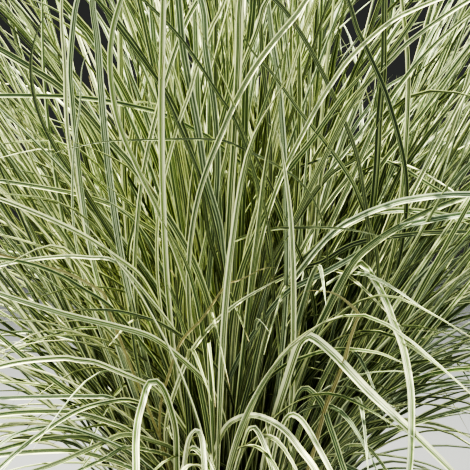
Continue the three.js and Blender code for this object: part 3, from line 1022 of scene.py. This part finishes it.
def bent_blade(at, way, opening, heading, droop, power, length, roll, twist, width):
    """A blade that leaves its stem at a small angle and bends by its own weight towards a last direction."""
    first = unit(way + leaning(math.pi / 2, heading) * math.tan(math.radians(opening)))
    last = leaning(math.radians(droop), heading)
    bend = math.acos(np.clip(first @ last, -sharpest_bend, sharpest_bend))
    share = np.linspace(0, 1, blade_steps + 1)
    part = share[:, None] ** power
    ways = (first * np.sin((1 - part) * bend) + last * np.sin(part * bend)) / math.sin(bend)
    places = at + np.concatenate([np.zeros((1, 3)), np.cumsum(ways[:-1], axis=0)]) * length / blade_steps
    flat = unit(np.cross(first, last))
    turn = (roll + twist * share)[:, None]
    side = flat * np.cos(turn) + np.cross(ways, flat) * np.sin(turn)
    upper = np.cross(ways, side)
    halves = np.interp(share, blade_stops, blade_taper) * blade_half_width * width
    return list(places[steps_kept]), list(upper[steps_kept]), list(halves[steps_kept])


def fits(line):
    """Whether a blade stays inside the plant's box and off the pot and the compost."""
    places = np.array(line)
    if (places < low + edge_room).any() or (places > high - edge_room).any():
        return False
    past_root = places[2:]
    if (past_root[:, 2] < floor_room).any():
        return False
    reach = np.hypot(past_root[:, 0], past_root[:, 1])
    over_compost = (reach < inner_mouth - pot_room) & (past_root[:, 2] > compost_top + pot_room)
    beside_pot = (reach < mouth_radius + pot_room) & (past_root[:, 2] < pot_height + pot_room)
    return not (beside_pot & ~over_compost).any()


def covered(line):
    """How many places a blade would cover where a front leaf shows, and where the clump is open."""
    hidden = set()
    closed = set()
    for x, y, depth in zip(*shown_at(along_line(line, covering_step))):
        spot = (int(x // clear_cell), int(y // clear_cell))
        if spot in kept_clear and depth > kept_clear[spot]:
            hidden.add(spot)
        if any(math.hypot(x - open_x, y - open_y) < reach for open_x, open_y, reach in open_places):
            closed.add(spot)
    return len(hidden), len(closed)


def draw(ranges):
    """Draws a number from each range. A third number in a range is its likeliest."""
    return {name: growth.triangular(*ends) if len(ends) == 3 else growth.uniform(*ends)
            for name, ends in ranges.items()}


def freest_blade(at, way, ranges, bearing=0.0, length=1.0):
    """Of a few ways that a blade may bend, the one that crosses the fewest others."""
    best = None
    for _ in range(ways_tried):
        drawn = draw(ranges)
        drawn["heading"] += bearing
        drawn["length"] *= length
        blade = bent_blade(at, way, **drawn)
        if not fits(blade[0]):
            continue
        taken = cells_of(blade[0][1:])
        hidden, closed = covered(blade[0])
        crossings = len(taken & crowd) + covering_cost * hidden + closing_cost * closed
        if best is None or crossings < best[0]:
            best = (crossings, blade, taken, closed)
    if best is None or best[3] > most_closed:
        return None
    crowd.update(best[2])
    return best[1]


def add_blade(lines, *how, **more):
    """Adds the freest blade, where there is room for one."""
    blade = freest_blade(*how, **more)
    if blade:
        lines.add(*blade)


def add_spear(lines, roots):
    """Adds the newest leaf, which goes straight on from the top of a stem and hides where the cane ends."""
    way = unit(roots[-1] - roots[-2])
    add_blade(lines, roots[-1] - way * spear_overlap, way, spear)


def grow_stem(index):
    """Grows one more leafy stem, with its cane, its leaves and its newest leaf."""
    reach = math.sqrt((index + 0.5) / more_stems)
    for _ in range(foot_tries):
        bearing = index * golden_angle + first_bearing + growth.uniform(-bearing_stray, bearing_stray)
        radius = crown_radius * reach + growth.uniform(-foot_stray, foot_stray)
        foot = np.array([radius * math.cos(bearing), radius * math.sin(bearing), compost_top - foot_depth])
        if min(np.linalg.norm(foot[:2] - other[:2]) for other in feet) > cane_spacing:
            break
    feet.append(foot)
    lean = math.radians(outer_lean) * reach ** lean_power + math.radians(growth.uniform(*lean_stray))
    heading = bearing + growth.uniform(-heading_stray, heading_stray)
    length = lerp(cane_length_middle, cane_length_outer, reach) * growth.uniform(*cane_length_stray)
    path = [foot]
    for i in range(1, cane_steps + 1):
        way = leaning(lean * (lean_at_foot + lean_gained * i / cane_steps), heading)
        path.append(path[-1] + way * length / cane_steps)
    lines = gathered[looks_in_turn[index % len(looks_in_turn)]]
    roots = []
    for k in range(leaves_per_stem):
        share = k + 0.5 + growth.uniform(-leaf_stray, leaf_stray)
        share = lowest_leaf + leafy_share * share / leaves_per_stem
        i = min(int(share * cane_steps), cane_steps - 1)
        root = lerp(path[i], path[i + 1], share * cane_steps - i)
        roots.append(root)
        leaf_length = lerp(leaf_length_low, leaf_length_high, k / (leaves_per_stem - 1))
        hanging = k < low_leaves
        add_blade(lines, root, unit(path[i + 1] - path[i]), low_leaf if hanging else high_leaf,
                  bearing=bearing if hanging else 0.0, length=leaf_length)
    add_cane(lines, foot, roots)
    add_spear(lines, roots)


for look, roots in tops:
    add_spear(gathered[look], roots)
for index in range(more_stems):
    grow_stem(index)


# The fine leaves. A blade is thin, folded along its pale midrib, cream at its margins and lined with cream
# in its green. Each finish is swept along its lines as one piece, which stands for the solid stems of that
# finish. The palest and the dried front leaves are two pieces more.
ring_corners = 8
fold_power = 1.25
ripples = 5.0
ripples_apart = 7.31
margin_from = 0.99
strip_filled = 0.44
map_height = 0.98
map_edge = 0.01
chances_apart = 41.7
strips_apart = 3.7
uneven_margins = (0.5, 1.6)
margin_wander = 0.2
margin_blur = 0.04
rib_reach = (0.12, 0.05)
rib_paleness = 0.7
line_paleness = 0.6
spot_strength = 0.8
line_blur = (0.53, 0.58)
green_blur = (0.35, 0.65)
spot_blur = (0.68, 0.74)
withers_from = 0.9
satin = (0.34, 0.5)
# Painted shade: round the heart of the clump, low in its middle, the leaves' colours are multiplied darker.
heart_shape = (1.4, 1.4, 0.75)
heart_painted_shade = (0.48, 0.54, 0.46)
heart_edge = 0.3
rib_count = 7.0
skin_seed_step = 11.0
straw = (0.42, 0.27, 0.12)


def leafy_stem_tree():
    """The nodes that sweep a leafy stem's blades and sheaths along the lines they follow."""
    tree, given, result = new_tree("leafy stem", "GeometryNodeTree", (
        ("Lines", "Geometry"), ("Blade Stations", "Int", 20), ("Sheath Stations", "Int", 6),
        ("Fold", "Float", 0.75), ("Thickness", "Float", 0.06), ("Ripple", "Float", 0.002),
        ("Map Strips", "Float", 34.0), ("Blade Finish", "Material"), ("Sheath Finish", "Material"),
    ), (("Geometry", "Geometry"),))

    def named(name, kind="FLOAT"):
        return shape(tree, "InputNamedAttribute", name, data_type=kind)

    def swept(lines, stations, section_height, fold, ripple, finish, sharp):
        curves = shape(tree, "MeshToCurve", lines)
        curves = shape(tree, "CurveSplineType", curves, spline_type="CATMULL_ROM")
        count = times(tree, stations, named("fineness"))
        curves = shape(tree, "ResampleCurve", curves, None, count)
        along = shape(tree, "SplineParameter")
        curves = shape(tree, "StoreNamedAttribute", curves, None, "along", along)
        upper = named("upper", "FLOAT_VECTOR")
        lengthwise = vectors(tree, "PROJECT", upper, shape(tree, "InputTangent"))
        upper = vectors(tree, "NORMALIZE", vectors(tree, "SUBTRACT", upper, lengthwise))
        if ripple:
            where = maths(tree, "MULTIPLY_ADD", along, ripples, times(tree, named("blade"), ripples_apart))
            wander = noise(tree, where, noise_dimensions="1D")
            wander = times(tree, times(tree, minus(tree, wander, 0.5), ripple), along)
            offset = vectors(tree, "SCALE", upper, wander)
            curves = shape(tree, "SetPosition", curves, None, None, offset)
        curves = shape(tree, "SetCurveNormal", curves, None, upper, mode="FREE")
        ring = shape(tree, "CurvePrimitiveCircle", ring_corners, 1.0)
        spot = shape(tree, "InputPosition")
        across = node(tree, "ShaderNodeSeparateXYZ", spot)
        rise = node(tree, "ShaderNodeSeparateXYZ", spot, out=1)
        folded = times(tree, maths(tree, "POWER", maths(tree, "ABSOLUTE", across), fold_power), fold)
        height = plus(tree, times(tree, rise, section_height), folded)
        corner = node(tree, "ShaderNodeCombineXYZ", height, times(tree, across, -1.0))
        ring = shape(tree, "StoreNamedAttribute", ring, None, "across", across)
        ring = shape(tree, "SetPosition", ring, None, corner)
        mesh = shape(tree, "CurveToMesh", curves, ring, named("half_width"), True)
        if sharp:
            margin = maths(tree, "GREATER_THAN", maths(tree, "ABSOLUTE", named("across")), margin_from)
            mesh = shape(tree, "SetShadeSmooth", mesh, margin, False, domain="EDGE")
        return shape(tree, "SetMaterial", mesh, None, finish)

    is_sheath = node(tree, "FunctionNodeCompare", named("sheath"), 0.5, operation="GREATER_THAN")
    sheath_lines = shape(tree, "SeparateGeometry", given["Lines"], is_sheath)
    blade_lines = sheath_lines.node.outputs["Inverted"]
    sheaths = swept(sheath_lines, given["Sheath Stations"], section_height=1.0, fold=0.0, ripple=None,
                    finish=given["Sheath Finish"], sharp=False)
    blades = swept(blade_lines, given["Blade Stations"], section_height=given["Thickness"],
                   fold=given["Fold"], ripple=given["Ripple"], finish=given["Blade Finish"], sharp=True)
    strip = plus(tree, named("strip"), maths(tree, "MULTIPLY_ADD", named("across"), strip_filled, 0.5))
    strip = maths(tree, "DIVIDE", strip, given["Map Strips"])
    up = maths(tree, "MULTIPLY_ADD", named("along"), map_height, map_edge)
    place = node(tree, "ShaderNodeCombineXYZ", strip, up)
    whole = shape(tree, "StoreNamedAttribute", joined(tree, sheaths, blades), None, "OFBake", place,
                  data_type="FLOAT2", domain="CORNER")
    whole = shape(tree, "RealizeInstances", whole)
    tree.links.new(whole, result["Geometry"])
    return tree


def striped_leaf_group():
    """The striping of a variegated leaf: pale margins, a pale midrib and fine pale lines in the green."""
    tree, given, result = new_tree("striped leaf", "ShaderNodeTree", (
        ("Across", "Float"), ("Along", "Float"), ("Strip", "Float"), ("Seed", "Float"),
        ("Green", "Color"), ("Dark", "Color"), ("Cream", "Color"), ("Withered", "Color"),
        ("Margin", "Float", 0.3), ("Lines", "Float", 0.5), ("Withering", "Float", 0.5),
        ("Heart", "Vector", (0.0, 0.0, 0.10)), ("Heart Reach", "Float", 0.42),
    ), (("Colour", "Color"), ("Roughness", "Float"), ("Relief", "Float")))
    across, along, strip = given["Across"], given["Along"], given["Strip"]

    def chance(number):
        """A number that is the same all over a blade, and in every blade that has the same look."""
        drawn = plus(tree, plus(tree, strip, given["Seed"]), number * chances_apart)
        return node(tree, "ShaderNodeTexWhiteNoise", drawn, noise_dimensions="1D")

    def drawn_out(scale_across, scale_along, number):
        """Noise drawn out along a blade."""
        other = plus(tree, maths(tree, "MULTIPLY_ADD", strip, strips_apart, number), given["Seed"])
        return noise(tree, node(tree, "ShaderNodeCombineXYZ", times(tree, across, scale_across),
                                times(tree, along, scale_along), other))

    reach = maths(tree, "ABSOLUTE", across)
    edge = minus(tree, 1.0, reach)
    left, right = (times(tree, given["Margin"], eased(tree, chance(number), 0.0, 1.0, *uneven_margins))
                   for number in (1, 2))
    side = maths(tree, "GREATER_THAN", across, 0.0)
    width = plus(tree, times(tree, left, side), times(tree, right, minus(tree, 1.0, side)))
    wander = times(tree, minus(tree, drawn_out(1.0, 5.0, 0.3), 0.5), margin_wander)
    is_margin = eased(tree, minus(tree, plus(tree, edge, wander), width), margin_blur, -margin_blur)
    is_rib = eased(tree, reach, *rib_reach)
    fine = minus(tree, drawn_out(8.0, 1.2, 1.1), times(tree, given["Lines"], 0.1))
    is_line = times(tree, eased(tree, fine, *line_blur), eased(tree, given["Lines"], 0.0, 0.3))
    patches = eased(tree, drawn_out(2.2, 3.0, 2.4), *green_blur)
    greens = mixed(tree, patches, given["Green"], given["Dark"])
    greens = mixed(tree, times(tree, chance(3), 0.6), greens, given["Dark"])
    pale = maths(tree, "MAXIMUM", is_margin, times(tree, is_rib, rib_paleness))
    pale = maths(tree, "MAXIMUM", pale, times(tree, is_line, line_paleness))
    colour = mixed(tree, pale, greens, given["Cream"])
    near_tip = eased(tree, plus(tree, along, times(tree, edge, -0.03)), withers_from, 1.0)
    tired = times(tree, near_tip, eased(tree, chance(4), 0.5, 0.9))
    spots = times(tree, eased(tree, drawn_out(3.0, 14.0, 6.6), *spot_blur), spot_strength)
    tired = maths(tree, "MAXIMUM", tired, times(tree, spots, eased(tree, chance(5), 0.7, 0.9)))
    tired = times(tree, tired, given["Withering"])
    colour = mixed(tree, tired, colour, given["Withered"])
    # Painted shade: near the heart of the clump, low in its middle, the colour is multiplied darker, as if
    # shaded by the leaves above.
    from_heart = vectors(tree, "SUBTRACT", on_the_piece(tree), given["Heart"])
    from_heart = vectors(tree, "LENGTH", vectors(tree, "MULTIPLY", from_heart, heart_shape))
    deep = eased(tree, from_heart, given["Heart Reach"], times(tree, given["Heart Reach"], heart_edge))
    painted_shade = mixed(tree, 1.0, colour, heart_painted_shade, "MULTIPLY")
    tree.links.new(mixed(tree, deep, colour, painted_shade), result["Colour"])
    tree.links.new(eased(tree, drawn_out(5.0, 9.0, 4.2), 0.3, 0.7, *satin), result["Roughness"])
    ribs = noise(tree, maths(tree, "MULTIPLY_ADD", across, rib_count, strip), noise_dimensions="1D")
    tree.links.new(minus(tree, ribs, times(tree, is_rib, 0.6)), result["Relief"])
    return tree


striped_leaf_tree = striped_leaf_group()


def leaf_skin(name, seed, green, dark, cream, margin, lines=0.5, withering=0.6, through=0.15,
              withered=straw):
    """A leaf: striped, satin, finely ribbed, and thin enough to let some light through."""
    material, tree, surface = new_material(name)
    given = [stored(tree, attribute) for attribute in ("across", "along", "strip")]
    colours = [(*c, 1.0) for c in (green, dark, cream, withered)]
    colour = node(tree, "ShaderNodeGroup", *given, seed, *colours, margin, lines, withering,
                  node_tree=striped_leaf_tree)
    bump = bumped(tree, colour.node.outputs["Relief"], strength=0.3, depth=0.0003)
    face = principled(tree, Base_Color=colour, Roughness=colour.node.outputs["Roughness"], Normal=bump)
    glow = node(tree, "ShaderNodeBsdfTranslucent", colour)
    tree.links.new(node(tree, "ShaderNodeMixShader", through, face, glow), surface)
    return material


sheath_skin = leaf_skin("leaf_sheath", 77.0, green=(0.22, 0.27, 0.08), dark=(0.13, 0.16, 0.04),
                        cream=(0.62, 0.60, 0.36), margin=0.1, lines=0.9, withering=0.0, through=0.0)
leafy_stem = leafy_stem_tree()


def sweep(name, lines, skin):
    """Sweeps the gathered lines of one finish, as one piece."""
    piece = built_by_nodes(name, lines.mesh(), (leafy_stem, {
        "Map Strips": float(looks_per_finish + sheath_looks),
        "Blade Finish": skin, "Sheath Finish": sheath_skin,
    }))
    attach(piece, "root")
    return piece


for i, (look, colours) in enumerate(finishes.items()):
    skin = leaf_skin("striped_" + look, i * skin_seed_step, *colours)
    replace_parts(sweep("leafy_stems_" + look, gathered[look], skin), *replaced[look])
# The pale finish is partly real and partly painted light: its cream margins are wider than the cream
# finish's, and its greens are painted brighter for the front leaves that catch the most light.
lit_pale_skin = leaf_skin("lit_pale_leaf", 63.0, green=(0.27, 0.35, 0.11), dark=(0.13, 0.19, 0.05),
                      cream=(0.96, 0.97, 0.60), margin=0.46, lines=0.9)
sweep("pale_front_leaves", gathered["pale"], lit_pale_skin)
dry_skin = leaf_skin("dried_leaf", 91.0, green=(0.36, 0.34, 0.12), dark=(0.20, 0.17, 0.05),
                     cream=(0.66, 0.62, 0.33), margin=0.3, lines=0.7, withering=1.0, through=0.1,
                     withered=(0.20, 0.12, 0.045))
sweep("dried_leaves", gathered["dry"], dry_skin)


# The plant stands on a plain pale floor that fades out round it. One lamp high at the left gives the leaves
# their light and shade, a weak broad one fills from the right, and a pale sky lights all sides. The camera
# sees a plain dark backdrop in place of that sky.
floor_reach = 3.4
floor_fades_from = 1.0
floor_sides = 96
floor_colour = (0.23, 0.23, 0.22, 1)
sky_colour = (0.74, 0.82, 0.93, 1)
sky_strength = 1.05
backdrop_colour = (0.05, 0.052, 0.05, 1)

turns = np.linspace(0, math.tau, floor_sides + 1)[:-1]
floor_corners = [(floor_reach * math.cos(turn), floor_reach * math.sin(turn), 0) for turn in turns]
floor_mesh = bpy.data.meshes.new("floor")
floor_mesh.from_pydata(floor_corners, [], [range(len(floor_corners))])
floor = add_object("floor", floor_mesh)
material, floor_tree, surface = new_material("pale_floor")
from_middle = vectors(floor_tree, "LENGTH", on_the_piece(floor_tree))
shown = eased(floor_tree, from_middle, floor_reach, floor_fades_from)
pale = principled(floor_tree, Base_Color=floor_colour, Roughness=0.9, Alpha=shown)
floor_tree.links.new(pale, surface)
floor_mesh.materials.append(material)

world = bpy.data.worlds.new("world")
bpy.context.scene.world = world
world.use_nodes = True
sky = world.node_tree
sky.nodes.clear()
glow = node(sky, "ShaderNodeBackground", sky_colour, sky_strength)
backdrop = node(sky, "ShaderNodeBackground", backdrop_colour, 1.0)
by_camera = node(sky, "ShaderNodeLightPath")
sky.links.new(node(sky, "ShaderNodeMixShader", by_camera, glow, backdrop),
              sky.nodes.new("ShaderNodeOutputWorld").inputs["Surface"])


def area_light(name, place, size, power, colour):
    data = bpy.data.lights.new(name, "AREA")
    data.shape = "DISK"
    data.size = size
    data.energy = power
    data.color = colour
    light = add_object(name, data)
    light.location = place
    light.rotation_euler = (aim - Vector(place)).to_track_quat("-Z", "Y").to_euler()


area_light("key", place=(-1.4, -0.45, 3.6), size=0.15, power=480, colour=(1.0, 0.98, 0.88))
area_light("fill", place=(2.2, -2.0, 1.6), size=2.0, power=10, colour=(0.9, 0.96, 1.0))

bpy.context.scene.view_settings.view_transform = "AgX"
bpy.context.scene.view_settings.look = "AgX - Very High Contrast"
